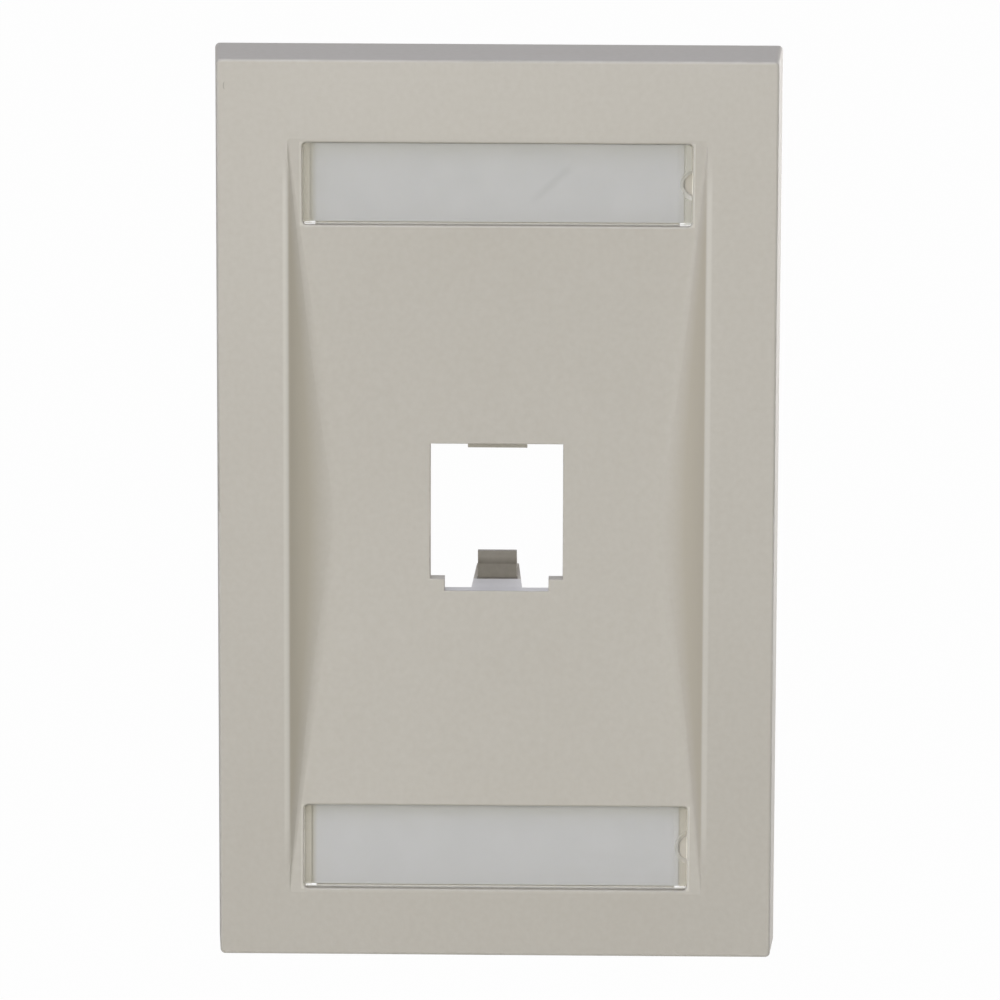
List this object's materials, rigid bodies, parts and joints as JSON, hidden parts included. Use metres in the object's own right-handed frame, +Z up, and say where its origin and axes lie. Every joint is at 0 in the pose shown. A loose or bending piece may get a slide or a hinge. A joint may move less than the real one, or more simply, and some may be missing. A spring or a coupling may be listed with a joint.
{
  "type": "keystone faceplate",
  "caption": "Moulded wall faceplate with one snap-in module port in a hollowed face and clear-covered label windows over its mounting screws.",
  "frame": {"origin": "midway between the two mounting screw holes, on the wall plane that the back edges of the skirt stand on", "axes": "+Z up along the plate's length, +Y into the wall, so the face looks towards -Y, and +X to the right seen from the front"},
  "size_m": [0.0698, 0.0145, 0.1142],
  "materials": {
    "moulding": "fine even texture",
    "clear_cover": "clear moulded plastic, gloss",
    "card": "uncoated"
  },
  "bodies": {
    "plate": {"faceplate": "moulding", "upper_label_card": "card", "lower_label_card": "card"},
    "upper_cover": {"upper_label_cover": "clear_cover"},
    "lower_cover": {"lower_label_cover": "clear_cover"}
  },
  "joints": [
    {"name": "upper_cover_pull", "type": "slide", "parent": "plate", "child": "upper_cover", "axis": [0, -1, 0], "range_m": [0, 0.012]},
    {"name": "lower_cover_pull", "type": "slide", "parent": "plate", "child": "lower_cover", "axis": [0, -1, 0], "range_m": [0, 0.012]}
  ]
}
